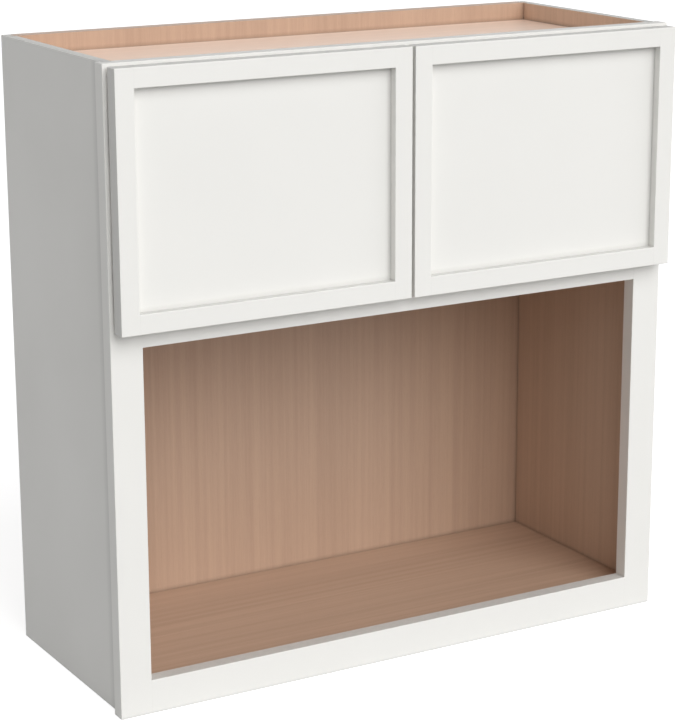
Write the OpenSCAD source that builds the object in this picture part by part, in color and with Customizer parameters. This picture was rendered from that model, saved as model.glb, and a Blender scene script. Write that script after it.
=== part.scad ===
// Microwave wall cabinet in millimetres: a face-frame case that hangs on a wall, with an open
// microwave bay below and a cupboard with two recessed-panel doors above.
// +Z is up, the front faces -Y, and the origin is under the middle of the whole outline.

/* [Cabinet] */
// Width across the face frame
cab_w = 762; // [600:1:914]
// Height of the case
cab_h = 762; // [700:1:914]
// Depth from the wall to the front of the face frame
cab_d = 304.8; // [220:0.1:400]
// Thickness of each side
side_t = 12.7; // [9:0.1:16]
// Thickness of the top, the bottom and the middle deck
deck_t = 12.7; // [9:0.1:16]
// Thickness of the back panel
back_t = 6.35; // [3:0.05:9]
// Height of each hanging rail behind the back panel
hanging_rail_h = 76.2; // [50:0.1:100]
// Thickness of each hanging rail
hanging_rail_t = 12.7; // [10:0.1:19]

/* [Face frame] */
// Thickness of the face frame
frame_t = 19.05; // [17:0.05:25]
// Width of each stile
stile_w = 39.7; // [36:0.1:60]
// Height of the top rail
top_rail_h = 38.1; // [36:0.1:60]
// Height of the rail between the doors and the bay
middle_rail_h = 38.1; // [34:0.1:60]
// Height of the bottom rail
bottom_rail_h = 41.3; // [36:0.1:60]
// Distance that each side stands in from the outer edge of its stile
side_setback = 6.35; // [0:0.05:9]
// Clear height of the microwave bay between its two rails
bay_h = 400; // [300:1:480]
// Depth of the bay floor below the top edge of the bottom rail
floor_drop = 9.5; // [3:0.1:14]
// Depth of the cupboard floor below the top edge of the middle rail
deck_drop = 9.5; // [3:0.1:14]
// Depth of the top panel below the top of the case
top_drop = 22.2; // [5:0.1:25]

/* [Doors] */
// Thickness of each door
door_t = 19; // [18:0.1:24]
// Gap between the face frame and the back of each closed door
door_standoff = 4; // [3.5:0.1:6]
// Distance from the outer edge of the face frame to each door
door_side_reveal = 4; // [3:0.1:8]
// Distance from the top of the face frame to each door
door_top_reveal = 3; // [1:0.1:12]
// Gap between the two doors
door_gap = 4; // [2:0.1:8]
// Distance that the doors lap down over the middle rail
door_lap = 17; // [15:0.1:25]
// Width of the stiles and rails of each door
door_frame_w = 23; // [22:0.1:70]
// Depth of the door panel behind the front of its frame
door_recess = 11; // [8:0.1:13]
// Distance that the door panel laps into the rebate behind its frame
panel_lap = 3; // [1.5:0.1:3.5]

/* [Joinery] */
// Depth of the grooves in the face frame for the case panels
groove_d = 6; // [3:0.1:8]
// Depth of the grooves in the sides for the decks and the back panel
dado_d = 6; // [3:0.1:7]
// Clearance on each face of a panel or tenon in its groove or mortise
joint_gap = 0.1; // [0.05:0.05:0.3]
// Diameter of the dowels in the face frame
dowel_d = 8; // [5:0.5:9]
// Length of the dowels in the face frame
dowel_l = 40; // [24:1:50]
// Distance between the two dowels at each end of a rail
dowel_pitch = 20; // [14:0.5:22]
// Thickness of the tenons on the door rails
tenon_t = 6; // [4:0.1:7]
// Length of the tenons on the door rails
tenon_l = 12; // [6:0.5:18]
// Wood left beside each tenon on the edges of its rail
tenon_shoulder = 5; // [3:0.5:7]

/* [Hinges] */
// Diameter of the hinge pins
pin_d = 4; // [3:0.1:5]
// Running clearance of each pin all round in the eye of its arm
pin_gap = 0.05; // [0.02:0.01:0.1]
// Distance of the pin from the outer edge of the door
pin_edge = 6.5; // [5.5:0.1:7.2]
// Depth of the pin inside the back of the door
pin_depth = 8; // [7:0.1:9]
// Thickness of the hinge metal
hinge_t = 1.6; // [1.2:0.1:1.8]
// Wall of the eye round the pin
eye_wall = 1.4; // [1:0.1:1.8]
// Distance from the pin to the bend where the arm turns back out of the door
arm_reach = 11; // [10:0.1:11.6]
// Height of the hinge housing in the door
housing_h = 40; // [34:1:60]
// Length of the lugs that screw the housing to the door above and below
lug_l = 14; // [12:0.5:20]
// Length of the arm's plate along the edge of the stile
plate_l = 16; // [12:0.5:16.5]
// Free space round the arm inside its housing
arm_gap = 0.4; // [0.3:0.05:0.6]
// Free space beside the eye for the arm to swing past the edge of the housing
eye_room = 1.2; // [1:0.1:1.6]
// Distance of the hinge centres from the rails above and below
hinge_inset = 40; // [35:1:60]

/* [Screws and bumpers] */
// Diameter of the screws
screw_d = 3.5; // [2.5:0.1:4]
// Diameter of the countersunk screw heads
screw_head_d = 6.5; // [5.5:0.1:7.5]
// Length of the screws that hold the hinges
hinge_screw_l = 14; // [10:0.5:15]
// Length of the screws through the back into the decks
back_screw_l = 40; // [30:1:60]
// Number of screws along each deck
back_screws_per_deck = 4; // [2:1:6]
// Distance from the side of the case to the first screw
back_screw_inset = 60; // [30:1:120]
// Distance between the two screws in each hinge arm
arm_screw_pitch = 20; // [12:0.5:24]
// Clearance round the screws and dowels in the wood
hole_gap = 0.05; // [0.02:0.01:0.2]
// Side of the square socket in the screw heads
socket_w = 2.4; // [1.5:0.1:2.6]
// Depth of the square socket
socket_d = 2; // [1:0.1:2.5]
// Diameter of the door bumpers
bumper_d = 10; // [6:0.5:14]
// Air between a bumper and the face frame
bumper_gap = 0.4; // [0.3:0.1:1]

/* [Hidden] */
$fn = 48;

paint = [0.94, 0.93, 0.91];
veneer = [0.90, 0.78, 0.66];
steel = [0.72, 0.73, 0.74];
clear_rubber = [0.85, 0.85, 0.83];
cut = 1;                                // overrun of every cutting shape

// Depths: wall, back panel, face frame and doors
total_d = cab_d + door_standoff + door_t;
y_wall = total_d / 2;
y_back = y_wall - hanging_rail_t - back_t;
y_frame = y_wall - cab_d;
y_groove = y_frame + frame_t - groove_d;
y_door_back = y_frame - door_standoff;
y_door = y_door_back - door_t;

// Widths on the left half; the right half is its mirror image
x_frame = -cab_w / 2;
x_opening = x_frame + stile_w;
x_side = x_frame + side_setback;
x_inner = x_side + side_t;
x_door = x_frame + door_side_reveal;
x_door_end = -door_gap / 2;
x_pin = x_door + pin_edge;

// Heights
z_bay = bottom_rail_h;
z_bay_top = z_bay + bay_h;
z_cupboard = z_bay_top + middle_rail_h;
z_cupboard_top = cab_h - top_rail_h;
z_floor = z_bay - floor_drop - deck_t;
z_deck = z_cupboard - deck_drop - deck_t;
z_top = cab_h - top_drop - deck_t;
z_door = z_cupboard - door_lap;
z_door_top = cab_h - door_top_reveal;
z_hinge_lower = z_cupboard + hinge_inset;
z_hinge_upper = z_cupboard_top - hinge_inset;

// Door panel and its rebate
y_panel = y_door + door_recess;
x_panel = x_door + door_frame_w - panel_lap;
x_panel_end = x_door_end - door_frame_w + panel_lap;
z_panel = z_door + door_frame_w - panel_lap;
z_panel_top = z_door_top - door_frame_w + panel_lap;

// Hinge, measured from the pin with +X into the door and +Y to the wall
pin_r = pin_d / 2;
eye_r = pin_r + pin_gap + eye_wall;
y_pin = y_door_back - pin_depth;
to_frame = pin_depth + door_standoff;
mid_gap = pin_depth + door_standoff / 2;
plate_x = x_opening - x_pin;
housing_x = -eye_r - eye_room;
housing_end = arm_reach + hinge_t / 2 + arm_gap;
housing_w = housing_end - housing_x;
base_y = -eye_r - arm_gap - hinge_t;
arm_h = housing_h - 2 * hinge_t - 2 * arm_gap;
lug_z = housing_h / 2 + lug_l / 2;
head_h = (screw_head_d - screw_d) / 2;

// ---- Shapes that repeat ----

// A block between two corners
module block(low, high) {
    translate(low) cube(high - low);
}

// The mirror image on the right of the middle plane
module right() {
    mirror([1, 0, 0]) children();
}

// The same shape on both sides of the middle plane
module both_sides() {
    children();
    right() children();
}

// The space of a horizontal panel between the sides, with its lower face at z
module deck_space(z, gap = 0) {
    block([x_inner - dado_d, y_groove, z - gap], [-x_inner + dado_d, y_back, z + deck_t + gap]);
}

// All three horizontal panels with clearance, as the cutter for their grooves
module deck_grooves() {
    for (z = [z_floor, z_deck, z_top]) deck_space(z, joint_gap);
}

// The space of the left side panel; a cutter overruns both of its ends
module side_space(gap = 0, overrun = 0) {
    block([x_side - gap, y_groove, -overrun], [x_inner + gap, y_wall, cab_h + overrun]);
}

// A countersunk wood screw with its head's face at the origin, pointing along +Z
module screw(length, gap = 0) {
    rotate_extrude()
        polygon([
            [0, 0], [screw_head_d / 2 + gap, 0], [screw_d / 2 + gap, head_h],
            [screw_d / 2 + gap, length - screw_d + gap], [0, length + gap]
        ]);
}

// The same screw with the square socket in its head
module socket_screw(length) {
    difference() {
        screw(length);
        block([-socket_w / 2, -socket_w / 2, -cut], [socket_w / 2, socket_w / 2, socket_d]);
    }
}

// ---- Screws through the back ----

// Puts its children at each back screw: heads on the hanging rails, or on the back panel
// behind the middle deck
module at_back_screws() {
    first = x_inner + back_screw_inset;
    pitch = -2 * first / (back_screws_per_deck - 1);
    for (i = [0:back_screws_per_deck - 1]) {
        x = first + i * pitch;
        translate([x, y_wall, z_floor + deck_t / 2]) rotate([90, 0, 0]) children();
        translate([x, y_wall, z_top + deck_t / 2]) rotate([90, 0, 0]) children();
        translate([x, y_back + back_t, z_deck + deck_t / 2]) rotate([90, 0, 0]) children();
    }
}

module back_screw_holes() {
    at_back_screws() screw(back_screw_l, hole_gap);
}

module back_screws() {
    color(steel) at_back_screws() socket_screw(back_screw_l);
}

// ---- Case ----

module side_left() {
    color(paint) difference() {
        side_space();
        deck_grooves();
        block([x_inner - dado_d, y_back - joint_gap, -cut],
              [x_inner + cut, y_back + back_t + joint_gap, cab_h + cut]);
    }
}

module deck(z) {
    color(veneer) difference() {
        deck_space(z);
        back_screw_holes();
    }
}

module back_panel() {
    color(veneer) difference() {
        block([x_inner - dado_d, y_back, 0], [-x_inner + dado_d, y_back + back_t, cab_h]);
        back_screw_holes();
    }
}

module hanging_rail(z) {
    color(veneer) difference() {
        block([x_inner, y_back + back_t, z], [-x_inner, y_wall, z + hanging_rail_h]);
        back_screw_holes();
    }
}

// ---- Face frame ----

// Puts its children at the middle of each dowel on the left stile
module at_left_dowels() {
    rail_middles = [
        z_bay / 2, (z_bay_top + z_cupboard) / 2, (z_cupboard_top + cab_h) / 2
    ];
    for (z = rail_middles, side = [-1, 1])
        translate([x_opening, y_frame + (frame_t - groove_d) / 2, z + side * dowel_pitch / 2])
            rotate([0, 90, 0]) children();
}

module dowel_holes() {
    both_sides() at_left_dowels()
        cylinder(d = dowel_d + 2 * hole_gap, h = dowel_l + cut, center = true);
}

module frame_dowels() {
    color(veneer) both_sides() at_left_dowels()
        cylinder(d = dowel_d, h = dowel_l, center = true);
}

module frame_stile_left() {
    color(paint) difference() {
        block([x_frame, y_frame, 0], [x_opening, y_frame + frame_t, cab_h]);
        side_space(joint_gap, cut);
        deck_grooves();
        dowel_holes();
        arm_screw_holes();
    }
}

module frame_rail(low, high) {
    color(paint) difference() {
        block([x_opening, y_frame, low], [-x_opening, y_frame + frame_t, high]);
        deck_grooves();
        dowel_holes();
    }
}

// ---- Hinges, drawn for the left door ----

module at_hinge(z) {
    translate([x_pin, y_pin, z]) children();
}

module at_left_hinges() {
    for (z = [z_hinge_lower, z_hinge_upper]) at_hinge(z) children();
}

// The two screws of an arm go through its plate into the edge of the stile
module at_arm_screws() {
    for (side = [-1, 1])
        translate([plate_x + hinge_t, to_frame + plate_l / 2, side * arm_screw_pitch / 2])
            rotate([0, -90, 0]) children();
}

module arm_screw_holes() {
    at_left_hinges() at_arm_screws() screw(hinge_screw_l, hole_gap);
}

module hinge_arm_screws() {
    color(steel) both_sides() at_left_hinges() at_arm_screws() socket_screw(hinge_screw_l);
}

// A bent plate: an eye on the pin, a reach inside the door, a step back into the gap behind
// the door, and a plate along the edge of the stile
module hinge_arm(z) {
    half_t = hinge_t / 2;
    color(steel) at_hinge(z) difference() {
        translate([0, 0, -arm_h / 2]) linear_extrude(arm_h) difference() {
            union() {
                circle(eye_r);
                translate([0, -half_t]) square([arm_reach + half_t, hinge_t]);
                translate([arm_reach - half_t, -half_t]) square([hinge_t, mid_gap + hinge_t]);
                translate([arm_reach - half_t, mid_gap - half_t])
                    square([plate_x - arm_reach + half_t + hinge_t, hinge_t]);
                translate([plate_x, mid_gap - half_t])
                    square([hinge_t, to_frame - mid_gap + half_t + plate_l]);
            }
            circle(pin_r + pin_gap);
        }
        at_arm_screws() screw(hinge_screw_l, hole_gap);
    }
}

module at_housing_screws() {
    for (side = [-1, 1])
        translate([(housing_x + housing_end) / 2, pin_depth + hinge_t, side * lug_z])
            rotate([90, 0, 0]) children();
}

// A strip bent like a hat: its base lies on the floor of the pocket in the door, its two ears
// hold the pin, and its lugs lie on the back of the door
module hinge_housing(z) {
    color(steel) at_hinge(z) difference() {
        translate([housing_x, 0, 0]) union() {
            block([0, base_y, -housing_h / 2], [housing_w, base_y + hinge_t, housing_h / 2]);
            for (side = [0, 1]) mirror([0, 0, side]) {
                block([0, base_y, housing_h / 2 - hinge_t],
                      [housing_w, pin_depth + hinge_t, housing_h / 2]);
                block([0, pin_depth, housing_h / 2 - hinge_t],
                      [housing_w, pin_depth + hinge_t, housing_h / 2 + lug_l]);
            }
        }
        cylinder(r = pin_r, h = housing_h + 2 * cut, center = true);
        at_housing_screws() screw(hinge_screw_l, hole_gap);
    }
}

module hinge_pins() {
    color(steel) at_left_hinges() cylinder(r = pin_r, h = housing_h, center = true);
}

module housing_screws() {
    color(steel) at_left_hinges() at_housing_screws() socket_screw(hinge_screw_l);
}

// ---- Left door; the right door is its mirror image ----

module panel_space(gap = 0) {
    block([x_panel - gap, y_panel, z_panel - gap],
          [x_panel_end + gap, y_door_back, z_panel_top + gap]);
}

// The cutter for the rebate behind the frame runs out through the back of the door
module panel_rebate() {
    panel_space(joint_gap);
    translate([0, cut, 0]) panel_space(joint_gap);
}

// The tenon space of the door rail with its lower edge at z, running into both stiles
module tenon_space(z, gap = 0, end_gap = 0) {
    middle = (y_door + y_panel) / 2;
    block([x_door + door_frame_w - tenon_l - end_gap, middle - tenon_t / 2 - gap,
           z + tenon_shoulder - gap],
          [x_door_end - door_frame_w + tenon_l + end_gap, middle + tenon_t / 2 + gap,
           z + door_frame_w - tenon_shoulder + gap]);
}

module mortises() {
    for (z = [z_door, z_door_top - door_frame_w]) tenon_space(z, joint_gap, joint_gap);
}

module door_hinge_stile() {
    color(paint) difference() {
        block([x_door, y_door, z_door], [x_door + door_frame_w, y_door_back, z_door_top]);
        panel_rebate();
        mortises();
        at_left_hinges() {
            block([housing_x - joint_gap, base_y, -housing_h / 2 - joint_gap],
                  [housing_end + joint_gap, pin_depth + cut, housing_h / 2 + joint_gap]);
            at_housing_screws() screw(hinge_screw_l, hole_gap);
        }
    }
}

module door_free_stile() {
    color(paint) difference() {
        block([x_door_end - door_frame_w, y_door, z_door], [x_door_end, y_door_back, z_door_top]);
        panel_rebate();
        mortises();
    }
}

module door_rail(z) {
    color(paint) union() {
        difference() {
            block([x_door + door_frame_w, y_door, z],
                  [x_door_end - door_frame_w, y_door_back, z + door_frame_w]);
            panel_rebate();
        }
        tenon_space(z);
    }
}

module door_panel() {
    color(paint) panel_space();
}

// Clear domes on the back of the free stile, which meet the rails of the face frame
module door_bumpers() {
    x = x_door_end - door_frame_w / 2;
    for (z = [z_door + door_frame_w / 2, z_door_top - door_frame_w / 2])
        color(clear_rubber) translate([x, y_door_back, z]) rotate([-90, 0, 0])
            cylinder(d = bumper_d, h = door_standoff - bumper_gap);
}

// ---- Nodes ----

side_left();
right() side_left();  // side_right
deck(z_top);  // top_panel
deck(z_floor);  // bottom_panel
deck(z_deck);  // middle_deck
back_panel();
hanging_rail(cab_h - hanging_rail_h);  // hanging_rail_top
hanging_rail(0);  // hanging_rail_bottom
back_screws();

frame_stile_left();
right() frame_stile_left();  // frame_stile_right
frame_rail(z_cupboard_top, cab_h);  // frame_rail_top
frame_rail(z_bay_top, z_cupboard);  // frame_rail_middle
frame_rail(0, z_bay);  // frame_rail_bottom
frame_dowels();

hinge_arm(z_hinge_upper);  // hinge_arm_left_upper
hinge_arm(z_hinge_lower);  // hinge_arm_left_lower
right() hinge_arm(z_hinge_upper);  // hinge_arm_right_upper
right() hinge_arm(z_hinge_lower);  // hinge_arm_right_lower
hinge_arm_screws();

door_hinge_stile();  // door_left_hinge_stile
door_free_stile();  // door_left_free_stile
door_rail(z_door_top - door_frame_w);  // door_left_top_rail
door_rail(z_door);  // door_left_bottom_rail
door_panel();  // door_left_panel
door_bumpers();  // door_left_bumpers
hinge_housing(z_hinge_upper);  // hinge_housing_left_upper
hinge_housing(z_hinge_lower);  // hinge_housing_left_lower
hinge_pins();  // hinge_pins_left
housing_screws();  // housing_screws_left

right() door_hinge_stile();  // door_right_hinge_stile
right() door_free_stile();  // door_right_free_stile
right() door_rail(z_door_top - door_frame_w);  // door_right_top_rail
right() door_rail(z_door);  // door_right_bottom_rail
right() door_panel();  // door_right_panel
right() door_bumpers();  // door_right_bumpers
right() hinge_housing(z_hinge_upper);  // hinge_housing_right_upper
right() hinge_housing(z_hinge_lower);  // hinge_housing_right_lower
right() hinge_pins();  // hinge_pins_right
right() housing_screws();  // housing_screws_right
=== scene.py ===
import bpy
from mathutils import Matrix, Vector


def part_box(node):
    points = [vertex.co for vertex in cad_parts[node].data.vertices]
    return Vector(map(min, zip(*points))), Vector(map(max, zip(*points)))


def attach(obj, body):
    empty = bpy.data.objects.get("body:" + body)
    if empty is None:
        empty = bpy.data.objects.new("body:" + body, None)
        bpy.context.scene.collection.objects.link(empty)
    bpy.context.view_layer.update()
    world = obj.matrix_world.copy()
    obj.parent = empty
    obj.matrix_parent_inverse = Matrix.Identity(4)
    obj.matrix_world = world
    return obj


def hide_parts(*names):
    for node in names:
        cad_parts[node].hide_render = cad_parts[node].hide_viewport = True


bl_info = {
    "name": "Microwave wall cabinet",
    "version": (1, 0, 0),
    "blender": (4, 5, 0),
    "location": "3D View > Sidebar > Cabinet",
    "description": "Dresses a wall cabinet's boards and hinges and sets up its studio",
    "category": "Add Mesh",
}

import math

import bmesh
import bpy
import numpy as np
from bpy.props import FloatProperty, FloatVectorProperty, PointerProperty
from mathutils import Matrix

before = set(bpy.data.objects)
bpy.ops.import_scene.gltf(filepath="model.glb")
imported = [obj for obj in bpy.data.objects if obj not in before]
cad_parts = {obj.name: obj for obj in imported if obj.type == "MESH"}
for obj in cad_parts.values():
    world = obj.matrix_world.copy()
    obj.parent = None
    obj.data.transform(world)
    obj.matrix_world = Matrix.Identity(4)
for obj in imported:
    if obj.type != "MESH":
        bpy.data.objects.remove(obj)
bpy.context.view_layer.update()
X, Y, Z = 0, 1, 2
SIDES = ("left", "right")
LEVELS = ("lower", "upper")
LAMP_PARTS = ("", "_azimuth", "_height", "_size")   # endings of a lamp's four values
RAILS = {"bottom": "bottom_panel", "middle": "middle_deck", "top": "top_panel"}
ARC_STEPS = 4                 # flat faces in each quarter-round edge or bend
EYE_STEPS = 24                # flat faces round the rolled eye of a hinge
RING_STEPS = 32               # faces round a turned piece
MERGE_DISTANCE = 1e-6         # points closer than this are made one
SMOOTH_ANGLE = math.radians(35)
FACING = 0.7                  # least cosine between a normal and the axis that a face faces

# Finishes
# Painted shade: a patchy dark film on the paint's faces that look up, its share set by height
UPWARD_SHADE_COLOR = (0.03, 0.026, 0.018, 1.0)
FRAME_UPWARD_SHADE = 0.2              # painted shade on the face frame's upward faces near the top
OUTER_UPWARD_SHADE = 0.36             # the same on the sides and the doors
LOW_UPWARD_SHADE = 0.27               # the same on every piece low down
UPWARD_SHADE_HEIGHTS = (0.45, 0.75)  # heights between which the painted shade on upward faces changes
CORNER_REACH = 0.0038         # distance from a corner within which the paint gets painted shade
RECESS_REACH = 0.007          # the same in the recess of a door
WOOD_REACH = 0.006            # the same on veneer
CORNER_SHADE = 0.65           # gain of the paint's colour in a corner
WOOD_SHADE = 0.5              # gain of the dark veneer's colour in a corner
SIDE_SHADOW_START = 0.012            # depth behind the face frame where the painted stile shadow fades
SHADE_VEIL_FADE = 0.014             # distance over which the painted shade veil fades
SHADE_VEIL_CLEAR = 0.76             # share of the paint that shows through the painted shade veil
SHADE_VEIL_GAIN = 0.3              # gain of the paint's colour for the painted shade veil itself
PEEL_HEIGHT = 0.00001         # height of the paint's orange peel
PORE_DEPTH = 0.00003          # depth of the veneer's pores
LAYER = 0.0016                # thickness of each layer of the plywood's core
LAYER_CHANGE = (0.0007, 0.0009)  # depths between which the tone of a layer changes
PAINTED_LIGHT_GAIN = 1.2                  # gain of the veneer's colour above a given height, as painted light


# ---- Sizes and colours that a user would change ----


# Short forms of the properties
def Length(name, description, default):
    return FloatProperty(name=name, description=description, default=default, unit="LENGTH")


def Angle(name, description, degrees):
    return FloatProperty(name=name, description=description, default=math.radians(degrees),
                         subtype="ANGLE")


def Number(name, description, default):
    return FloatProperty(name=name, description=description, default=default)


def Color(name, description, default):
    return FloatVectorProperty(name=name, description=description, default=default, size=3,
                               subtype="COLOR")


class CabinetBoards(bpy.types.PropertyGroup):
    """How the edges and joints of the boards are worked."""

    edge_radius: Length("Edge radius", "Radius of the eased edges", 0.0007)
    joint_radius: Length("Joint radius", "Radius of the edges where two boards meet", 0.00008)
    seam_radius: Length(
        "Seam radius", "Radius of the edges beside the seams inside the case", 0.0005)
    joint_gap: Length("Joint gap", "Clearance of a panel in its groove", 0.0001)


class CabinetHardware(bpy.types.PropertyGroup):
    """Sizes of the hinges that the boxes of the frame don't give."""

    bend_radius: Length(
        "Bend radius", "Radius of each bend at the middle of the metal", 0.0015)
    burr_radius: Length("Burr radius", "Radius of the rubbed edges of the metal", 0.00025)
    arm_reach: Length(
        "Arm reach", "Distance from the pin to the arm's step out of the door", 0.011)
    pin_gap: Length("Pin gap", "Clearance of the pin in the eye of the arm", 0.00005)
    eye_end: Angle("Eye end", "Angle from the arm to the free end of its rolled eye", 30)


class CabinetFinish(bpy.types.PropertyGroup):
    """Colours of the finishes."""

    paint: Color(
        "Paint", "Satin paint of the frame, the doors and the outsides", (0.86, 0.852, 0.822))
    # Painted shade: the veneer in the case is a darker copy of the one wood
    veneer_light: Color("Light wood", "Light wood of the veneer", (0.54, 0.372, 0.27))
    veneer_dark: Color("Dark wood", "Dark streaks of the veneer", (0.465, 0.315, 0.226))
    # The veneer inside the sides is a lighter copy of the same wood
    side_light: Color(
        "Light wood of the sides", "Light wood of the veneer inside the sides", (0.6, 0.44, 0.335))
    side_dark: Color(
        "Dark wood of the sides", "Dark streaks of the veneer inside the sides",
        (0.52, 0.375, 0.28))
    # Painted light: the top panel's veneer is the palest copy of the same wood
    top_light: Color(
        "Light wood on top", "Light wood of the paler top panel", (0.98, 0.67, 0.475))
    top_dark: Color(
        "Dark wood on top", "Dark streaks of the paler top panel", (0.92, 0.61, 0.43))
    beech: Color("Dowel wood", "Wood of the dowels", (0.66, 0.45, 0.28))
    nickel: Color("Nickel", "Plating of the hinges", (0.62, 0.6, 0.57))
    zinc: Color("Zinc", "Plating of the screws", (0.66, 0.66, 0.64))
    rubber: Color("Bumper", "Soft clear plastic of the door bumpers", (0.82, 0.82, 0.79))


class CabinetStudio(bpy.types.PropertyGroup):
    """The camera, the light and the floor.  A lamp has its strength, its azimuth to the right of
    straight ahead, the angle of its height above the floor, and its apparent width."""

    camera_place: FloatVectorProperty(
        name="Camera", description="Place of the camera", size=3, subtype="TRANSLATION",
        unit="LENGTH", default=(-1.388, -2.410, 1.0826))
    azimuth: Angle("Azimuth", "Turn of the view from straight at the wall", 30.254)
    fall: Angle("Fall", "Angle that the view looks down", 15.094)
    roll: Angle("Roll", "Turn of the picture about the line of view", -0.103)
    lens: Number("Lens", "Focal length in millimetres for a picture 36 mm high", 114.53)
    shift_x: Number(
        "Shift across", "Shift of the picture to the right, in picture heights", -0.02354)
    shift_y: Number("Shift up", "Shift of the picture upwards, in picture heights", 0.017455)
    ambient: Number("Ambient", "Strength of the even light from all round", 0.2)
    key: Number("Key", "Strength of the soft key light", 2.3)
    key_azimuth: Angle("Key azimuth", "Azimuth of the key light", 5)
    key_height: Angle("Key height", "Height of the key light", 35)
    key_size: Angle("Key size", "Apparent width of the key light", 55)
    fill: Number("Fill", "Strength of the soft fill light from the right", 0.78)
    fill_azimuth: Angle("Fill azimuth", "Azimuth of the fill light", 60)
    fill_height: Angle("Fill height", "Height of the fill light", 12)
    fill_size: Angle("Fill size", "Apparent width of the fill light", 45)
    rim: Number("Rim", "Strength of the soft light from the left", 0.36)
    rim_azimuth: Angle("Rim azimuth", "Azimuth of the rim light", -95)
    rim_height: Angle("Rim height", "Height of the rim light", 15)
    rim_size: Angle("Rim size", "Apparent width of the rim light", 50)
    floor_half: Length("Floor", "Distance from the cabinet to the edge of the floor", 16.0)
    floor_color: Color("Floor colour", "Colour of the floor", (0.5, 0.5, 0.5))
    floor_glow: Number("Floor glow", "White that the camera sees on top of the floor", 0.8)


def board_sizes(context):
    boards = context.scene.cabinet_boards
    return boards.edge_radius, boards.joint_radius, boards.joint_gap, boards.seam_radius


# ---- Surfaces ----


def node_box(node):
    """Lowest and highest corner of a CAD node."""
    low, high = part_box(node)
    return tuple(low), tuple(high)


def stretches_between(start, end, *kinds):
    """Breaks between start and end where a span of any kind starts or stops, and for each stretch
    between them, whether it lies in a span of each kind."""
    ends = {place for spans in kinds for span in spans for place in span}
    breaks = sorted(place for place in ends if start < place < end)
    bounds = [start, *breaks, end]
    middles = [(low + high) / 2 for low, high in zip(bounds, bounds[1:])]
    inside = [[any(low < middle < high for low, high in spans) for spans in kinds]
              for middle in middles]
    return breaks, inside


def quarter_ease(radius):
    """Rise and inset along a quarter circle: the rise is radius (1 - cos t) and the inset is
    radius (1 - sin t)."""
    angle = np.linspace(0, math.pi / 2, ARC_STEPS + 1)
    return radius * (1 - np.cos(angle)), radius * (1 - np.sin(angle))


def rounded_outlines(corners, radii, insets):
    """Outlines with rounded corners, one for each station.

    With b and a the outward normals of the edges before and after a corner, the normal at angle t
    is the unit vector along b cos t + a sin t.  The point there is corner + turn * radius *
    (normal - a - b) - inset * normal, with turn 1 at an outer corner, -1 at an inner one and 0 on
    a straight edge.  An outer corner is never sharper than the inset.
    """
    edge = np.roll(corners, -1, axis=1) - corners
    edge /= np.linalg.norm(edge, axis=2, keepdims=True)
    after = np.stack([edge[..., 1], -edge[..., 0]], axis=2)
    before = np.roll(after, 1, axis=1)
    turn = np.rint(before[..., 0] * after[..., 1] - before[..., 1] * after[..., 0])
    inset = insets[:, None]
    radius = np.where(turn > 0, np.maximum(radii, inset), radii)
    angle = np.linspace(0, math.pi / 2, ARC_STEPS + 1)[:, None]
    normal = before[:, :, None] * np.cos(angle) + after[:, :, None] * np.sin(angle)
    normal /= np.linalg.norm(normal, axis=3, keepdims=True)
    reach = (turn * radius)[..., None, None]
    points = corners[:, :, None] + reach * (normal - (before + after)[:, :, None])
    points -= inset[..., None, None] * normal
    return points.reshape(len(points), -1, 2)


def carried_surface(path, across, up, corners, radii, insets):
    """Closed surface of an outline carried along a path: point = path + u across + v up, where
    (u, v) goes round the rounded outline.  Returns points, faces and flags of rounded faces."""
    flat = rounded_outlines(corners, radii, insets)
    points = path[:, None] + flat[..., :1] * across[:, None] + flat[..., 1:] * up
    stations, count = flat.shape[:2]
    ring = np.arange(count)
    rows = np.arange(stations - 1)[:, None] * count
    here, beside = rows + ring, rows + np.roll(ring, -1)
    quads = np.stack([here, beside, beside + count, here + count], axis=2).reshape(-1, 4)
    ends = [ring[::-1].tolist(), (ring + (stations - 1) * count).tolist()]
    rounded = (ring % (ARC_STEPS + 1) < ARC_STEPS) | (insets[:-1] != insets[1:])[:, None]
    return points.reshape(-1, 3), quads.tolist() + ends, rounded.ravel()


def board_surface(axis, start, end, ease, stretches, breaks=()):
    """A straight board along an axis.  stretches holds the corners and the radii of the outline
    between each two breaks, anticlockwise seen from the axis's end.  Each break has two stations,
    so that the outline can step there, and the ends are eased along a quarter circle."""
    rise, inset = quarter_ease(ease)
    places = np.concatenate([start + rise, np.repeat(breaks, 2), end - rise[::-1]])
    insets = np.concatenate([inset, np.zeros(2 * len(breaks)), inset[::-1]])
    middle = np.repeat(np.arange(len(breaks) + 1), 2)[1:-1]
    stretch = np.concatenate([0 * rise, middle, 0 * rise + len(breaks)]).astype(int)
    corners = np.array([corners for corners, _ in stretches], float)[stretch]
    radii = np.array([radii for _, radii in stretches], float)[stretch]
    unit = np.eye(3)
    across = np.broadcast_to(unit[(axis + 1) % 3], (len(places), 3))
    path = places[:, None] * unit[axis]
    return carried_surface(path, across, unit[(axis + 2) % 3], corners, radii, insets)


def strip_surface(line, normals, axes, middle, thickness, width, ease):
    """A strip of metal whose middle follows a bent line in the plane of the first two axes and
    lies at middle on the third one.  Its section is thickness along the line's normal by width
    along the third axis, with every edge rounded by ease."""
    rise, inset = quarter_ease(ease)
    along = np.stack([-normals[:, 1], normals[:, 0]], axis=1)
    start, end = line[0] + np.outer(rise, along[0]), line[-1] - np.outer(rise[::-1], along[-1])
    insets = np.concatenate([inset, np.zeros(len(line) - 2), inset[::-1]])
    line = np.concatenate([start, line[1:-1], end])
    normals = np.repeat(normals, [len(rise)] + [1] * (len(normals) - 2) + [len(rise)], axis=0)
    unit = np.eye(3)[list(axes)]
    path = line @ unit[:2] + middle * unit[2]
    half = np.array([thickness, width]) / 2
    corners = np.broadcast_to(half * [(-1, -1), (1, -1), (1, 1), (-1, 1)], (len(line), 4, 2))
    radii = np.full((len(line), 4), ease)
    return carried_surface(path, normals @ unit[:2], unit[2], corners, radii, insets)


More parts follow.
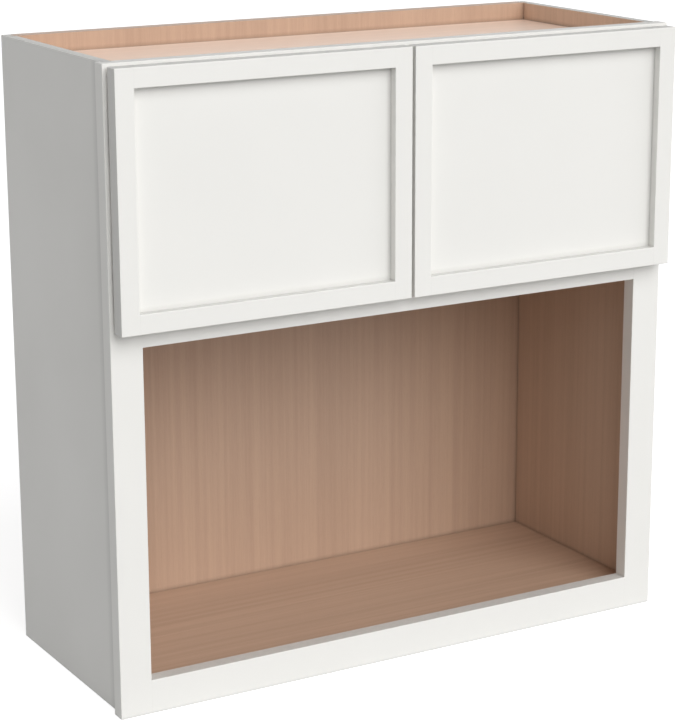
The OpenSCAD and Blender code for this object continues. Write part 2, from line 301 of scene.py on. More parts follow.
def bent_line(corners, radius):
    """Points and right-hand normals along a line with a round bend at each right-angled corner.

    With b and a the normals before and after the corner, the normal at angle t is
    b cos t + a sin t, and the point is corner + turn * radius * (normal - a - b).
    """
    corners = np.array(corners, float)
    step = np.diff(corners, axis=0)
    step /= np.linalg.norm(step, axis=1, keepdims=True)
    normals = np.stack([step[:, 1], -step[:, 0]], axis=1)
    before, after = normals[:-1, None], normals[1:, None]
    turn = np.rint(before[..., :1] * after[..., 1:] - before[..., 1:] * after[..., :1])
    angle = np.linspace(0, math.pi / 2, ARC_STEPS + 1)[:, None]
    normal = before * np.cos(angle) + after * np.sin(angle)
    points = corners[1:-1, None] + turn * radius * (normal - before - after)
    line = np.concatenate([corners[:1], points.reshape(-1, 2), corners[-1:]])
    return line, np.concatenate([normals[:1], normal.reshape(-1, 2), normals[-1:]])


def eye_line(eye, bend, end):
    """Points and right-hand normals round the rolled eye of a hinge arm, about the pin.

    The metal follows a circle of radius eye from the angle end, all the way round to the angle
    -joint, where sin joint = bend / (eye + bend).  A circle of radius bend, outside the first one
    and tangent to it and to the X axis, then turns it back to run straight along X.
    """
    joint = math.asin(bend / (eye + bend))
    roll = np.linspace(end, 2 * math.pi - joint, EYE_STEPS)[:, None]
    back = np.linspace(math.pi - joint, math.pi / 2, ARC_STEPS + 1)[1:, None]
    round_pin = np.hstack([np.cos(roll), np.sin(roll)])
    round_bend = np.hstack([np.cos(back), np.sin(back)])
    middle = np.array([(eye + bend) * math.cos(joint), -bend])
    line = np.concatenate([eye * round_pin, middle + bend * round_bend])
    return line, np.concatenate([round_pin, -round_bend])


def turned_surface(profile, place, axes):
    """Closed surface of revolution: each (radius, height) row of the profile is a circle about the
    third axis through place, and the first and last rows are points on it."""
    radius, height = np.array(profile, float).T
    angle = np.arange(RING_STEPS) * 2 * math.pi / RING_STEPS
    rows = [np.outer(radius, np.cos(angle)), np.outer(radius, np.sin(angle)),
            np.repeat(height[:, None], RING_STEPS, axis=1)]
    points = np.stack(rows, axis=-1).reshape(-1, 3) @ np.eye(3)[list(axes)] + place
    ring = np.arange(RING_STEPS)
    start = np.arange(len(radius) - 1)[:, None] * RING_STEPS
    here, beside = start + ring, start + np.roll(ring, -1)
    quads = np.stack([here, beside, beside + RING_STEPS, here + RING_STEPS], axis=2)
    return points, quads.reshape(-1, 4).tolist(), np.zeros(0)


def joined(surfaces):
    """Several turned surfaces as one, such as a pair of like pieces."""
    points, faces = [], []
    for more_points, more_faces, _ in surfaces:
        faces += [[index + len(points) for index in face] for face in more_faces]
        points += more_points.tolist()
    return np.array(points), faces, np.zeros(0)


# ---- Pieces ----


def new_object(name, data):
    """A new object in the scene."""
    thing = bpy.data.objects.new(name, data)
    bpy.context.scene.collection.objects.link(thing)
    return thing


def add_piece(name, surface, materials, pick=None):
    """A piece from a surface.  Doubles are merged, faces point outwards, rounded faces carry the
    attribute "rounded", and pick gives each face's material from the normals."""
    points, faces, rounded = surface
    mesh = bpy.data.meshes.new(name)
    mesh.from_pydata(points.tolist(), [], faces)
    flags = np.zeros(len(faces), np.float32)
    flags[:len(rounded)] = rounded
    mesh.attributes.new("rounded", "FLOAT", "FACE").data.foreach_set("value", flags)
    shape = bmesh.new()
    shape.from_mesh(mesh)
    bmesh.ops.remove_doubles(shape, verts=shape.verts, dist=MERGE_DISTANCE)
    bmesh.ops.recalc_face_normals(shape, faces=shape.faces)
    shape.to_mesh(mesh)
    shape.free()
    for material in materials:
        mesh.materials.append(material)
    if pick is not None:
        normals = np.empty(len(mesh.polygons) * 3, np.float32)
        mesh.polygons.foreach_get("normal", normals)
        mesh.polygons.foreach_set("material_index", pick(normals.reshape(-1, 3)).astype(np.int32))
    mesh.shade_smooth()
    mesh.set_sharp_from_angle(angle=SMOOTH_ANGLE)
    piece = new_object(name, mesh)
    weights = piece.modifiers.new("Flat faces lead", "WEIGHTED_NORMAL")
    weights.weight = 100
    weights.keep_sharp = True
    return piece


def mirrored(surface):
    """The right-hand twin of a left-hand surface."""
    points, faces, rounded = surface
    return points * (-1, 1, 1), [face[::-1] for face in faces], rounded


def fit_piece(node, body, surface, materials, right=False, pick=None):
    """A piece in the place of its CAD node, riding on its body."""
    surface = mirrored(surface) if right else surface
    piece = add_piece(node + "_dressed", surface, materials, pick)
    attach(piece, body)
    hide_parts(node)


def dress(node, material):
    """Gives a CAD node, which keeps its own shape, its finish."""
    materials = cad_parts[node].data.materials
    materials.clear()
    materials.append(material)


# ---- Materials ----


class Shader:
    """A material whose nodes are added with short calls."""

    def __init__(self, name):
        self.material = bpy.data.materials.new(name)
        self.material.use_nodes = True
        self.tree = self.material.node_tree
        self.surface = self.tree.nodes["Principled BSDF"]
        self.coordinates = self.tree.nodes.new("ShaderNodeTexCoord")
        self.place = self.coordinates.outputs["Object"]

    def feed(self, socket, value):
        """Links an output to the socket, or sets the socket to a constant."""
        if isinstance(value, bpy.types.NodeSocket):
            self.tree.links.new(value, socket)
        else:
            socket.default_value = value

    def add(self, kind, inputs, **settings):
        node = self.tree.nodes.new(kind)
        for name, value in settings.items():
            setattr(node, name, value)
        for name, value in inputs.items():
            self.feed(node.inputs[name], value)
        return node

    def noise(self, place, scale, detail=2.0, roughness=0.5, distortion=0.0):
        inputs = {"Vector": place, "Scale": scale, "Detail": detail, "Roughness": roughness,
                  "Distortion": distortion}
        return self.add("ShaderNodeTexNoise", inputs).outputs["Fac"]

    def stretched(self, along, share):
        """Object coordinates shrunk to a share along one axis, which draws a pattern out there."""
        scale = [1.0, 1.0, 1.0]
        scale[along] = share
        inputs = {"Vector": self.place, "Scale": scale}
        return self.add("ShaderNodeMapping", inputs).outputs["Vector"]

    def math(self, operation, *values):
        node = self.tree.nodes.new("ShaderNodeMath")
        node.operation = operation
        for socket, value in zip(node.inputs, values):
            self.feed(socket, value)
        return node.outputs["Value"]

    def spread(self, value, low, high, to_low=0.0, to_high=1.0):
        """The value's range from low to high, drawn out to another range and cut off there."""
        inputs = {"Value": value, "From Min": low, "From Max": high, "To Min": to_low,
                  "To Max": to_high}
        return self.add("ShaderNodeMapRange", inputs).outputs["Result"]

    def mix(self, factor, first, second):
        node = self.tree.nodes.new("ShaderNodeMix")
        node.data_type = "RGBA"
        for name, value in (("Factor_Float", factor), ("A_Color", first), ("B_Color", second)):
            socket = next(socket for socket in node.inputs if socket.identifier == name)
            self.feed(socket, value)
        return next(socket for socket in node.outputs if socket.identifier == "Result_Color")

    def out_of_corners(self, reach):
        """One on open ground, and down to about a half in a corner, within that reach of it."""
        return self.add("ShaderNodeAmbientOcclusion", {"Distance": reach}, samples=4).outputs["AO"]

    def finish(self, color, roughness, height, distance):
        """Feeds the surface: its colour, its roughness, and a bump of that real height."""
        self.feed(self.surface.inputs["Base Color"], color)
        self.feed(self.surface.inputs["Roughness"], roughness)
        bump = self.add("ShaderNodeBump", {"Height": height, "Distance": distance})
        self.feed(self.surface.inputs["Normal"], bump.outputs["Normal"])
        return self.material


def tint(color, *gains):
    """A colour with each channel raised or lowered by its gain, or all by one gain."""
    gains = gains * 3 if len(gains) == 1 else gains or (1.0, 1.0, 1.0)
    return (*(min(1.0, channel * gain) for channel, gain in zip(color, gains)), 1.0)


def paint_material(name, color, dust, reach, veil_end):
    """Satin sprayed paint: a fine orange peel on a slight waviness, a gloss that wanders a little,
    thinner, rubbed paint in places on the rounded edges, and painted shade.  The shade darkens
    the corners within their reach, lies as a patchy dark film on the faces that look up, with the
    share dust near the top, and as a thin veil before a given depth, fading out behind it."""
    shader = Shader(name)
    peel = shader.noise(shader.place, 900.0)
    wave = shader.noise(shader.place, 45.0, 1.0)
    drift = shader.noise(shader.place, 6.0)
    rub = shader.noise(shader.place, 140.0, 3.0, 0.65)
    rounded = shader.add("ShaderNodeAttribute", {}, attribute_name="rounded").outputs["Fac"]
    rubbed = shader.math("MULTIPLY", rounded, shader.spread(rub, 0.5, 0.75, 0.0, 0.4))
    tone = shader.mix(shader.spread(drift, 0.35, 0.65), tint(color), tint(color, 0.985))
    tone = shader.mix(rubbed, tone, tint(color, 0.94, 0.91, 0.86))
    normal = shader.coordinates.outputs["Normal"]
    upward = shader.add("ShaderNodeSeparateXYZ", {"Vector": normal}).outputs["Z"]
    depth, height = shader.add("ShaderNodeSeparateXYZ", {"Vector": shader.place}).outputs[1:]
    patches = shader.spread(rub, 0.3, 0.7, 0.8, 1.1)
    # Painted shade: a patchy dark film on the faces that look up, its share set by height
    upward_shade = shader.math("MULTIPLY", shader.spread(upward, 0.8, 0.95), patches)
    share = shader.spread(height, *UPWARD_SHADE_HEIGHTS, LOW_UPWARD_SHADE, dust)
    tone = shader.mix(shader.math("MULTIPLY", upward_shade, share), tone, UPWARD_SHADE_COLOR)
    # Painted shade in the corners, from the occlusion within reach
    tone = shader.mix(shader.out_of_corners(reach), tint(color, CORNER_SHADE), tone)
    # Painted shade: a veil over what lies in front of a given depth, fading out behind it
    unshaded_share = shader.spread(depth, veil_end, veil_end + SHADE_VEIL_FADE, SHADE_VEIL_CLEAR)
    tone = shader.mix(unshaded_share, tint(color, SHADE_VEIL_GAIN), tone)
    gloss = shader.spread(drift, 0.3, 0.7, 0.4, 0.48)
    shader.surface.inputs["Specular IOR Level"].default_value = 0.35
    return shader.finish(tone, gloss, shader.math("MULTIPLY_ADD", wave, 0.35, peel), PEEL_HEIGHT)


def plywood_material(name, color, dark, grain, thickness, low, high, sheen, paler_above):
    """Lacquered plywood.  Its veneer has slow bands, streaks and fine fibres drawn out along the
    grain, with short dark pores.  Where the surface faces away from the thickness axis, the
    crossed layers of the core show as stripes.  The corners are darker, as painted shade, and
    sheen is the pale veil of dust that a flat view across the wood shows.  Above a given height
    the veneer is lighter, as painted light."""
    shader = Shader(name)
    place = shader.add("ShaderNodeSeparateXYZ", {"Vector": shader.place}).outputs
    # Painted light: the veneer is lighter above a given height
    painted_lit = shader.spread(place[Z], paler_above, paler_above + 0.001)
    light = shader.mix(painted_lit, tint(color), tint(color, PAINTED_LIGHT_GAIN))
    deep = shader.mix(painted_lit, tint(dark), tint(dark, PAINTED_LIGHT_GAIN))
    long_grain = shader.stretched(grain, 0.012)
    bands = shader.noise(long_grain, 22.0, 2.0, 0.5, 0.3)
    streaks = shader.noise(long_grain, 130.0, 3.0, 0.6)
    fibres = shader.noise(shader.stretched(grain, 0.03), 1500.0, 2.0, 0.6)
    pores = shader.noise(shader.stretched(grain, 0.05), 2300.0, 1.0)
    pore = shader.spread(pores, 0.66, 0.76)
    figure = shader.math("MULTIPLY", bands, 0.45)
    figure = shader.math("MULTIPLY_ADD", streaks, 0.55, figure)
    figure = shader.math("MULTIPLY_ADD", shader.math("SUBTRACT", fibres, 0.5), 0.3, figure)
    face = shader.mix(shader.spread(figure, 0.36, 0.66), light, deep)
    face = shader.mix(shader.math("MULTIPLY", pore, 0.35), face, tint(dark, 0.72))
    layer = shader.math("PINGPONG", place[thickness], LAYER)
    core = shader.mix(shader.spread(layer, *LAYER_CHANGE), tint(color, 0.98), tint(dark, 0.86))
    # Painted shade in the corners, from the occlusion within reach
    face = shader.mix(shader.out_of_corners(WOOD_REACH), tint(dark, WOOD_SHADE), face)
    speckle = shader.noise(shader.place, 700.0)
    core = shader.mix(shader.math("MULTIPLY", speckle, 0.3), core, tint(dark, 0.75))
    normal = shader.coordinates.outputs["Normal"]
    facing = shader.add("ShaderNodeSeparateXYZ", {"Vector": normal}).outputs[thickness]
    on_edge = shader.math("LESS_THAN", shader.math("ABSOLUTE", facing), 0.5)
    gloss = shader.spread(streaks, 0.3, 0.7, low, high)
    shader.surface.inputs["Sheen Weight"].default_value = sheen
    relief = shader.math("MULTIPLY_ADD", pore, -0.8, fibres)
    return shader.finish(shader.mix(on_edge, face, core), gloss, relief, PORE_DEPTH)


def dowel_material(name, color):
    """Bare turned wood: fibres along X and a slightly burnished, darker figure."""
    shader = Shader(name)
    fibres = shader.noise(shader.stretched(X, 0.04), 1100.0, 3.0, 0.6)
    figure = shader.noise(shader.stretched(X, 0.1), 160.0, 2.0)
    tone = shader.mix(shader.spread(figure, 0.35, 0.65), tint(color), tint(color, 0.85))
    tone = shader.mix(shader.spread(fibres, 0.5, 0.75, 0.0, 0.5), tone, tint(color, 0.7))
    return shader.finish(tone, shader.spread(figure, 0.3, 0.7, 0.55, 0.68), fibres, 0.00005)


def metal_material(name, color, low, high):
    """Plated metal with faint upright rolling lines and a roughness that has soft stains."""
    shader = Shader(name)
    lines = shader.noise(shader.stretched(Z, 0.03), 2600.0)
    stains = shader.noise(shader.place, 150.0, 4.0, 0.6)
    tone = shader.mix(shader.spread(stains, 0.35, 0.7), tint(color), tint(color, 0.86))
    shader.surface.inputs["Metallic"].default_value = 1.0
    return shader.finish(tone, shader.spread(stains, 0.3, 0.7, low, high), lines, 0.00001)


def rubber_material(name, color):
    """Soft clear plastic, a little cloudy, with dust on it."""
    shader = Shader(name)
    dust = shader.noise(shader.place, 1500.0, 3.0, 0.7)
    tone = shader.mix(shader.spread(dust, 0.5, 0.8, 0.0, 0.5), tint(color), tint(color, 0.8))
    shader.surface.inputs["Transmission Weight"].default_value = 0.5
    shader.surface.inputs["IOR"].default_value = 1.47
    return shader.finish(tone, shader.spread(dust, 0.3, 0.8, 0.2, 0.45), dust, 0.00002)


def shared(name, make, *colors, **options):
    """The material of that name, made when it is first asked for."""
    finish = bpy.context.scene.cabinet_finish
    colors = [getattr(finish, color)[:] for color in colors]
    return bpy.data.materials.get(name) or make(name, *colors, **options)


# Paint whose upward dust film, darker corners and veil are all painted shade
def paint(place="frame", dust=FRAME_UPWARD_SHADE, reach=CORNER_REACH, veil_end=-1.0):
    return shared(place + "_white_paint", paint_material, "paint", dust=dust, reach=reach,
                  veil_end=veil_end)


def plywood(grain, thickness, kind="veneer", low=0.36, high=0.46, sheen=0.0, paler_above=1.0):
    name = f"{kind}_plywood_grain_{'xyz'[grain]}_thick_{'xyz'[thickness]}"
    return shared(name, plywood_material, kind + "_light", kind + "_dark", grain=grain,
                  thickness=thickness, low=low, high=high, sheen=sheen, paler_above=paler_above)


def nickel():
    return shared("nickel_plate", metal_material, "nickel", low=0.22, high=0.34)


def zinc():
    return shared("zinc_plate", metal_material, "zinc", low=0.32, high=0.46)


# ---- Operators ----


class CABINET_OT_sides(bpy.types.Operator):
    """Make the two sides: veneered inside, painted outside and on the edges"""

    bl_idname = "cabinet.sides"
    bl_label = "Sides"

    def execute(self, context):
        edge, joint, gap, seam = board_sizes(context)
        (x0, y0, z0), (x1, y1, z1) = node_box("side_left")
        (xd, d0, _), (_, d1, _) = node_box("back_panel")
        d0, d1 = d0 - gap, d1 + gap
        flat = [(xd, y0), (x1, y0), (x1, d0), (xd, d0)]
        dado = [(xd, y) for y in np.linspace(y0, d0, len(flat))]
        back_groove = [(xd, d1), (x1, d1), (x1, y1), (x0, y1)]
        decks = [node_box(deck) for deck in RAILS.values()]
        spans = [(low[Z] - gap, high[Z] + gap) for low, high in decks]
        breaks, inside = stretches_between(z0, z1, spans)
        radii = [joint, joint, joint, seam, joint, joint, seam, edge, edge]
        stretches = [([(x0, y0)] + (dado if deck else flat) + back_groove, radii)
                     for deck, in inside]
        surface = board_surface(Z, z0, z1, edge, stretches, breaks)
        # Painted shadow of the stile on the outside of the side, fading behind the face frame
        veil_end = node_box("frame_stile_left")[1][Y] + SIDE_SHADOW_START
        materials = [paint("side", OUTER_UPWARD_SHADE, veil_end=veil_end),
                     # Painted light on the veneer above the top panel
                     plywood(Z, X, "side", paler_above=decks[-1][1][Z])]
        for side, inwards in zip(SIDES, (1, -1)):
            fit_piece("side_" + side, "case", surface, materials, side == "right",
                      pick=lambda normals: normals[:, X] * inwards > FACING)
        return {"FINISHED"}


class CABINET_OT_panels(bpy.types.Operator):
    """Make the three decks, and finish the back and the hanging rails in their own shapes"""

    bl_idname = "cabinet.panels"
    bl_label = "Panels"

    def execute(self, context):
        _, joint, _, seam = board_sizes(context)
        for deck in RAILS.values():
            (x0, y0, z0), (x1, y1, z1) = node_box(deck)
            corners = [(y0, z0), (y1, z0), (y1, z1), (y0, z1)]
            surface = board_surface(X, x0, x1, joint, [(corners, [joint, seam, seam, joint])])
            finish = plywood(X, Z)
            if deck == "top_panel":
                # Painted light: the top panel takes the palest copy of the veneer
                finish = plywood(X, Z, "top", low=0.16, high=0.24, sheen=0.42)
            fit_piece(deck, "case", surface, [finish])
        dress("back_panel", plywood(Z, Y))
        for place in ("top", "bottom"):
            dress("hanging_rail_" + place, plywood(X, Y))
        return {"FINISHED"}


class CABINET_OT_face_frame(bpy.types.Operator):
    """Make the painted face frame: two stiles and three rails with fine joint lines"""

    bl_idname = "cabinet.face_frame"
    bl_label = "Face frame"

    def execute(self, context):
        self.edge, self.joint, self.gap, _ = board_sizes(context)
        for rail, deck in RAILS.items():
            self.make_rail("frame_rail_" + rail, deck)
        self.make_stiles()
        return {"FINISHED"}

    def make_rail(self, node, deck):
        """A rail with the groove for its deck along the back."""
        (x0, y0, z0), (x1, y1, z1) = node_box(node)
        (_, yg, g0), (_, _, g1) = node_box(deck)
        g0, g1 = g0 - self.gap, g1 + self.gap
        corners = [(y0, z0), (y1, z0), (y1, g0), (yg, g0), (yg, g1), (y1, g1), (y1, z1), (y0, z1)]
        radii = [self.edge] * 2 + [self.joint] * 4 + [self.edge] * 2
        surface = board_surface(X, x0, x1, self.joint, [(corners, radii)])
        fit_piece(node, "case", surface, [paint()])

    def make_stiles(self):
        """A stile has grooves for the side and for the ends of the decks.  Its inner edges are
        eased between the rails and drop to a fine joint line where a rail meets them."""
        edge, joint, gap = self.edge, self.joint, self.gap
        (x0, y0, z0), (x1, y1, z1) = node_box("frame_stile_left")
        (g0, yg, _), (g1, _, _) = node_box("side_left")
        g0, g1 = g0 - gap, g1 + gap
        rails = [node_box("frame_rail_" + rail) for rail in RAILS]
        decks = [node_box(deck) for deck in RAILS.values()]
        breaks, inside = stretches_between(
            z0, z1, [(low[Z], high[Z]) for low, high in rails],
            [(low[Z] - gap, high[Z] + gap) for low, high in decks])
        solid = [(x1, yg), (x1, y1), (g1, y1), (g1, yg)]
        grooved = [(x, yg) for x in np.linspace(x1, g1, len(solid))]
        stretches = []
        for rail, deck in inside:
            inner = joint if rail else edge
            corners = [(x0, y0), (x1, y0)] + (grooved if deck else solid)
            corners += [(g0, yg), (g0, y1), (x0, y1)]
            radii = [edge, inner, joint, inner] + [joint] * 4 + [edge]
            stretches.append((corners, radii))
        surface = board_surface(Z, z0, z1, edge, stretches, breaks)
        for side in SIDES:
            fit_piece("frame_stile_" + side, "case", surface, [paint()],
                      side == "right")


class CABINET_OT_doors(bpy.types.Operator):
    """Make the two doors: stiles, rails and flat panels, with pockets for the hinges"""

    bl_idname = "cabinet.doors"
    bl_label = "Doors"

    def execute(self, context):
        self.edge, self.joint, self.gap, _ = board_sizes(context)
        self.panel = node_box("door_left_panel")
        self.hinge_stile = node_box("door_left_hinge_stile")
        self.free_stile = node_box("door_left_free_stile")
        rails = [node_box("door_left_" + rail) for rail in ("bottom_rail", "top_rail")]
        self.rail_spans = [(low[Z], high[Z]) for low, high in rails]
        self.rebate_span = (self.panel[0][Z] - self.gap, self.panel[1][Z] + self.gap)
        surfaces = {
            "hinge_stile": self.hinge_stile_surface(),
            "free_stile": self.free_stile_surface(),
            "bottom_rail": self.bottom_rail_surface(*rails[0]),
            "top_rail": self.top_rail_surface(*rails[1]),
            "panel": self.panel_surface(),
        }
        # The doors' upward faces take the painted shade film
        face = paint("door", OUTER_UPWARD_SHADE)
        for side, outwards in zip(SIDES, (-1, 1)):
            finishes = {
                # The panel's front gets wider painted shade in the corners of the recess
                "panel": ([face, paint("recess", reach=RECESS_REACH)],
                          lambda normals: normals[:, Y] < -FACING),
                # The outer edge of each door is darker all over, as painted shade
                "hinge_stile": ([face, paint("door_edge", veil_end=0.0)],
                                lambda normals: normals[:, X] * outwards > FACING),
            }
            for part, surface in surfaces.items():
                materials, pick = finishes.get(part, ([face], None))
                fit_piece(f"door_{side}_{part}", "door_" + side, surface,
                          materials, side == "right", pick)
        return {"FINISHED"}

    def panel_surface(self):
        (x0, y0, z0), (x1, y1, z1) = self.panel
        corners = [(x0, y0), (x1, y0), (x1, y1), (x0, y1)]
        return board_surface(Z, z0, z1, self.joint, [(corners, [self.joint] * 4)])

    def rail_surface(self, corners, radii):
        """A rail between the two stiles, from its outline in Y and Z."""
        start, end = self.hinge_stile[1][X], self.free_stile[0][X]
        return board_surface(X, start, end, self.joint, [(corners, radii)])

    def bottom_rail_surface(self, low, high):
        """The bottom rail's outline, with the rebate for the panel at its upper back."""
        (_, y0, z0), (_, y1, z1) = low, high
        yr, zr = self.panel[0][Y], self.rebate_span[0]
        corners = [(y0, z0), (y1, z0), (y1, zr), (yr, zr), (yr, z1), (y0, z1)]
        return self.rail_surface(corners, [self.edge] * 2 + [self.joint] * 3 + [self.edge])

    def top_rail_surface(self, low, high):
        """The top rail's outline, with the rebate for the panel at its lower back."""
        (_, y0, z0), (_, y1, z1) = low, high
        yr, zr = self.panel[0][Y], self.rebate_span[1]
        corners = [(y0, z0), (yr, z0), (yr, zr), (y1, zr), (y1, z1), (y0, z1)]
        return self.rail_surface(corners, [self.edge] + [self.joint] * 3 + [self.edge] * 2)

    def free_stile_surface(self):
        """The stile at the middle of the cabinet.  Its rebate stops inside the two rails."""
        edge, joint = self.edge, self.joint
        (x0, y0, z0), (x1, y1, z1) = self.free_stile
        xr, yr = self.panel[1][X] + self.gap, self.panel[0][Y]
        breaks, inside = stretches_between(z0, z1, self.rail_spans, [self.rebate_span])
        stretches = []
        for rail, rebate in inside:
            corners = [(x0, y0), (x1, y0), (x1, y1), (xr, y1)]
            corners += [(xr, yr) if rebate else (x0, y1), (x0, yr)]
            stretches.append((corners, [joint if rail else edge, edge, edge, joint, joint, joint]))
        return board_surface(Z, z0, z1, edge, stretches, breaks)

    def hinge_stile_surface(self):
        """The stile at the outer edge, with a pocket for each hinge housing."""
        edge, joint, gap = self.edge, self.joint, self.gap
        (x0, y0, z0), (x1, y1, z1) = self.hinge_stile
        xr, yr = self.panel[0][X] - gap, self.panel[0][Y]
        (p0, yp, _), (p1, _, _) = node_box("hinge_housing_left_lower")
        p0, p1 = p0 - gap, p1 + gap
        pockets = [hinge_span("left", level) for level in LEVELS]
        pockets = [(low - gap, high + gap) for low, high in pockets]
        breaks, inside = stretches_between(z0, z1, self.rail_spans, [self.rebate_span], pockets)
        open_pocket = [(p1, y1), (p1, yp), (p0, yp), (p0, y1)]
        no_pocket = [(x, y1) for x in np.linspace(p1, p0, len(open_pocket))]
        stretches = []
        for rail, rebate, pocket in inside:
            corners = [(x0, y0), (x1, y0), (x1, yr), (xr, yr) if rebate else (x1, y1), (xr, y1)]
            corners += (open_pocket if pocket else no_pocket) + [(x0, y1)]
            stretches.append((corners, [edge, joint if rail else edge] + [joint] * 7 + [edge]))
        return board_surface(Z, z0, z1, edge, stretches, breaks)


def hinge_span(side, level):
    """Lowest and highest place of a hinge housing between its ears, which is its pin's length."""
    arm_low, arm_high = node_box(f"hinge_arm_{side}_{level}")
    middle = (arm_low[Z] + arm_high[Z]) / 2
    pins_low, pins_high = node_box("hinge_pins_" + side)
    half = middle - pins_low[Z] if level == "lower" else pins_high[Z] - middle
    return middle - half, middle + half


class CABINET_OT_hinges(bpy.types.Operator):
    """Make the hinges: an arm with a rolled eye and a housing bent like a hat for each one"""

    bl_idname = "cabinet.hinges"
    bl_label = "Hinges"

    def execute(self, context):
        self.sizes = context.scene.cabinet_hardware
        (x0, y0, _), (x1, y1, _) = node_box("hinge_pins_left")
        self.pin = np.array([(x0 + x1) / 2, (y0 + y1) / 2])
        self.pin_radius = (x1 - x0) / 2
        self.stile_edge = node_box("frame_stile_left")[1][X]
        self.sheet = node_box("hinge_arm_left_lower")[1][X] - self.stile_edge
        for side in SIDES:
            for level in LEVELS:
                self.make_pair(side, level)
            dress("hinge_pins_" + side, nickel())
        return {"FINISHED"}

    def make_pair(self, side, level):
        arm = self.arm_surface(*node_box("hinge_arm_left_" + level))
        housing = self.housing_surface(*node_box("hinge_housing_left_" + level), level)
        name = f"{side}_{level}"
        fit_piece("hinge_arm_" + name, "case", arm, [nickel()], side == "right")
        fit_piece("hinge_housing_" + name, "door_" + side, housing, [nickel()],
                  side == "right")

    def arm_surface(self, low, high):
        """The arm runs from its eye inside the door, steps back to the middle of the gap behind
        the door, crosses to the stile's inner edge and lies along it."""
        sizes = self.sizes
        half = self.sheet / 2
        gap_middle = (node_box("door_left_panel")[1][Y] + node_box("frame_stile_left")[0][Y]) / 2
        eye = self.pin_radius + sizes.pin_gap + half
        rolled, rolled_normals = eye_line(eye, sizes.bend_radius, sizes.eye_end)
        reach = self.pin[X] + sizes.arm_reach
        plate = self.stile_edge + half
        start = self.pin + rolled[-1]
        run, run_normals = bent_line(
            [start, (reach, self.pin[Y]), (reach, gap_middle), (plate, gap_middle),
             (plate, high[Y])], sizes.bend_radius)
        line = np.concatenate([self.pin + rolled, run[1:]])
        normals = np.concatenate([rolled_normals, run_normals[1:]])
        return strip_surface(line, normals, (X, Y, Z), (low[Z] + high[Z]) / 2, self.sheet,
                             high[Z] - low[Z], sizes.burr_radius)

    def housing_surface(self, low, high, level):
        """The housing's base lies on the floor of the pocket, its ears hold the pin, and its lugs
        lie on the back of the door."""
        half = self.sheet / 2
        bottom, top = hinge_span("left", level)
        base, lug = low[Y] + half, high[Y] - half
        corners = [(low[Z], lug), (bottom + half, lug), (bottom + half, base), (top - half, base),
                   (top - half, lug), (high[Z], lug)]
        line, normals = bent_line(corners, self.sizes.bend_radius)
        return strip_surface(line, normals, (Z, Y, X), (low[X] + high[X]) / 2, self.sheet,
                             high[X] - low[X], self.sizes.burr_radius)


class CABINET_OT_fasteners(bpy.types.Operator):
    """Finish the dowels and screws, and make the domed bumpers on the doors"""

    bl_idname = "cabinet.fasteners"
    bl_label = "Fasteners and bumpers"

    def execute(self, context):
        dress("frame_dowels", shared("dowel_wood", dowel_material, "beech"))
        for place in ("back", "hinge_arm"):
            dress(place + "_screws", zinc())
        material = shared("clear_rubber", rubber_material, "rubber")
        for side in SIDES:
            dress("housing_screws_" + side, zinc())
            node = f"door_{side}_bumpers"
            fit_piece(node, "door_" + side, self.domes(*node_box(node)), [material])
        return {"FINISHED"}

    def domes(self, low, high):
        """A short cylinder under an elliptical dome: at angle t the radius is half the width times
        cos t, and the height is a third of the whole plus two thirds of it times sin t."""
        radius, height = (high[X] - low[X]) / 2, high[Y] - low[Y]
        angle = np.linspace(0, math.pi / 2, 2 * ARC_STEPS + 1)
        profile = [(0, 0), (radius, 0)]
        profile += zip(radius * np.cos(angle), height * (1 + 2 * np.sin(angle)) / 3)
        heights = (low[Z] + radius, high[Z] - radius)
        return joined([turned_surface(profile, (low[X] + radius, low[Y], z), (Z, X, Y))
                       for z in heights])


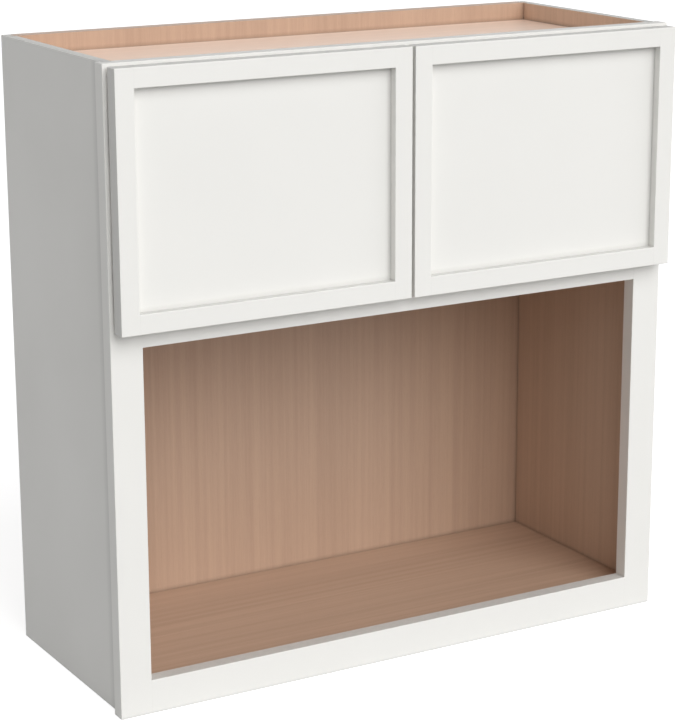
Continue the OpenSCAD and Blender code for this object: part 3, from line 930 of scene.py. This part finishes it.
class CABINET_OT_stage(bpy.types.Operator):
    """Set up the studio: the camera, the soft light and the pale floor"""

    bl_idname = "cabinet.stage"
    bl_label = "Stage"

    def execute(self, context):
        studio = context.scene.cabinet_studio
        self.make_camera(context, studio)
        for lamp in ("key", "fill", "rim"):
            values = (getattr(studio, lamp + part) for part in LAMP_PARTS)
            self.make_lamp(lamp, *values)
        self.make_ambient(context, studio)
        self.make_floor(studio)
        context.scene.view_settings.view_transform = "Standard"
        return {"FINISHED"}

    def make_camera(self, context, studio):
        data = bpy.data.cameras.new("camera")
        data.lens = studio.lens
        data.shift_x, data.shift_y = studio.shift_x, studio.shift_y
        camera = new_object("camera", data)
        turn = Matrix.Rotation(-studio.azimuth, 4, "Z")
        tilt = Matrix.Rotation(math.pi / 2 - studio.fall, 4, "X")
        roll = Matrix.Rotation(studio.roll, 4, "Z")
        camera.matrix_world = Matrix.Translation(studio.camera_place) @ turn @ tilt @ roll
        context.scene.camera = camera

    def make_lamp(self, name, strength, azimuth, height, size):
        """A far, wide lamp that shines on the cabinet from that azimuth and height."""
        data = bpy.data.lights.new(name, "SUN")
        data.energy = strength
        data.angle = size
        turn = Matrix.Rotation(azimuth, 4, "Z")
        tilt = Matrix.Rotation(math.pi / 2 - height, 4, "X")
        new_object(name, data).matrix_world = turn @ tilt

    def make_ambient(self, context, studio):
        """Even light from all round.  The camera and mirror-like surfaces see plain white."""
        world = bpy.data.worlds.new("studio")
        world.use_nodes = True
        tree = world.node_tree
        background = tree.nodes["Background"]
        background.inputs["Color"].default_value = (1.0, 1.0, 1.0, 1.0)
        strength = self.for_seen_rays(tree, studio.ambient, 1.0)
        tree.links.new(strength, background.inputs["Strength"])
        context.scene.world = world

    def for_seen_rays(self, tree, other, seen):
        """One strength for the rays that show a backdrop, straight, mirrored or through a clear
        piece, and another for the rest."""
        path = tree.nodes.new("ShaderNodeLightPath")
        shown = path.outputs["Is Camera Ray"]
        for ray in ("Is Glossy Ray", "Is Transmission Ray"):
            either = tree.nodes.new("ShaderNodeMath")
            either.operation = "MAXIMUM"
            tree.links.new(shown, either.inputs[0])
            tree.links.new(path.outputs[ray], either.inputs[1])
            shown = either.outputs["Value"]
        strength = tree.nodes.new("ShaderNodeMapRange")
        strength.inputs["To Min"].default_value = other
        strength.inputs["To Max"].default_value = seen
        tree.links.new(shown, strength.inputs["Value"])
        return strength.outputs["Result"]

    def make_floor(self, studio):
        """A wide pale floor, which shows the camera its own white under the soft shadow."""
        half = studio.floor_half
        mesh = bpy.data.meshes.new("floor")
        corners = [(-half, -half, 0), (half, -half, 0), (half, half, 0), (-half, half, 0)]
        mesh.from_pydata(corners, [], [(0, 1, 2, 3)])
        mesh.materials.append(self.floor_material(studio))
        floor = new_object("floor", mesh)

    def floor_material(self, studio):
        shader = Shader("studio_floor")
        speckle = shader.noise(shader.place, 30.0)
        color = shader.mix(speckle, tint(studio.floor_color), tint(studio.floor_color, 0.99))
        shader.finish(color, 0.9, speckle, 0.0001)
        shader.surface.inputs["Specular IOR Level"].default_value = 0.0
        shader.surface.inputs["Emission Color"].default_value = (1.0, 1.0, 1.0, 1.0)
        glow = self.for_seen_rays(shader.tree, 0.0, studio.floor_glow)
        shader.feed(shader.surface.inputs["Emission Strength"], glow)
        return shader.material


class CABINET_PT_sidebar(bpy.types.Panel):
    """Lists the cabinet's pieces and the sizes and colours that they take"""

    bl_idname = "CABINET_PT_sidebar"
    bl_label = "Wall cabinet"
    bl_space_type = "VIEW_3D"
    bl_region_type = "UI"
    bl_category = "Cabinet"

    def draw(self, context):
        for operator in OPERATORS:
            self.layout.operator(operator.bl_idname)
        for name in GROUPS:
            box = self.layout.box()
            group = getattr(context.scene, name)
            for key in group.bl_rna.properties.keys():
                if key not in ("rna_type", "name"):
                    box.prop(group, key)


GROUPS = {
    "cabinet_boards": CabinetBoards,
    "cabinet_hardware": CabinetHardware,
    "cabinet_finish": CabinetFinish,
    "cabinet_studio": CabinetStudio,
}
OPERATORS = (
    CABINET_OT_stage,
    CABINET_OT_sides,
    CABINET_OT_panels,
    CABINET_OT_face_frame,
    CABINET_OT_doors,
    CABINET_OT_hinges,
    CABINET_OT_fasteners,
)
CLASSES = (*GROUPS.values(), *OPERATORS, CABINET_PT_sidebar)


def register():
    for cls in CLASSES:
        bpy.utils.register_class(cls)
    for name, group in GROUPS.items():
        setattr(bpy.types.Scene, name, PointerProperty(type=group))


def unregister():
    for name in GROUPS:
        delattr(bpy.types.Scene, name)
    for cls in reversed(CLASSES):
        bpy.utils.unregister_class(cls)


def main():
    register()
    bpy.ops.cabinet.stage()
    bpy.ops.cabinet.sides()
    bpy.ops.cabinet.panels()
    bpy.ops.cabinet.face_frame()
    bpy.ops.cabinet.doors()
    bpy.ops.cabinet.hinges()
    bpy.ops.cabinet.fasteners()


if __name__ == "__main__":
    main()
